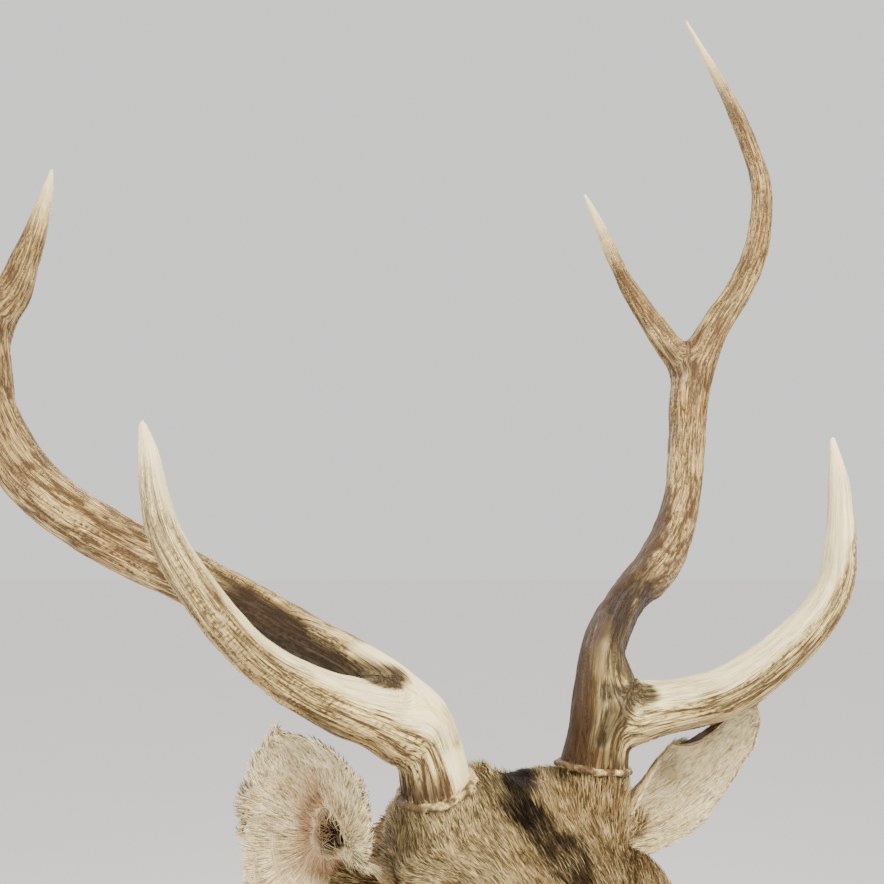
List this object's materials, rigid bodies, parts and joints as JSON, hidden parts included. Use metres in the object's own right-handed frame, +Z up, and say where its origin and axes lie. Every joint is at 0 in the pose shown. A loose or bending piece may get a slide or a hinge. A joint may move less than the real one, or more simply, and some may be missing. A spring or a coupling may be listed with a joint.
{
  "type": "axis deer shoulder mount",
  "caption": "Axis deer buck shoulder mount with hard antlers, head turned to its left, on a plain backboard with a keyhole hanger.",
  "frame": {"origin": "the middle of the backboard's back face, on the wall", "axes": "+X the deer's left (a viewer's right), +Y into the wall, +Z up; the deer faces -Y"},
  "size_m": [0.7107, 0.5053, 1.1302],
  "materials": {
    "coat": "short dense deer fur, rufous brown with rows of white spots",
    "nose_skin": "black pebbled nose skin, slightly moist",
    "eye_glass": "polished dark brown glass eye",
    "antler_bone": "hard antler bone, grooved, tan brown with ivory tips",
    "board_wood": "stained plywood, satin",
    "hanger_steel": "zinc-plated steel"
  },
  "bodies": {
    "root": {"head": "coat", "muzzle": "coat", "lower_jaw": "coat", "nose_pad": "nose_skin", "eye_left": "eye_glass", "eye_right": "eye_glass", "ear_left": "coat", "ear_right": "coat", "neck": "coat", "shoulders": "coat", "antler_left_base": "antler_bone", "antler_left_beam": "antler_bone", "antler_left_outer_tine": "antler_bone", "antler_left_brow_tine": "antler_bone", "antler_left_inner_tine": "antler_bone", "antler_right_base": "antler_bone", "antler_right_beam": "antler_bone", "antler_right_outer_tine": "antler_bone", "antler_right_brow_tine": "antler_bone", "antler_right_inner_tine": "antler_bone", "backboard": "board_wood", "hanger_plate": "hanger_steel", "hanger_screw_1": "hanger_steel", "hanger_screw_2": "hanger_steel"}
  },
  "joints": []
}
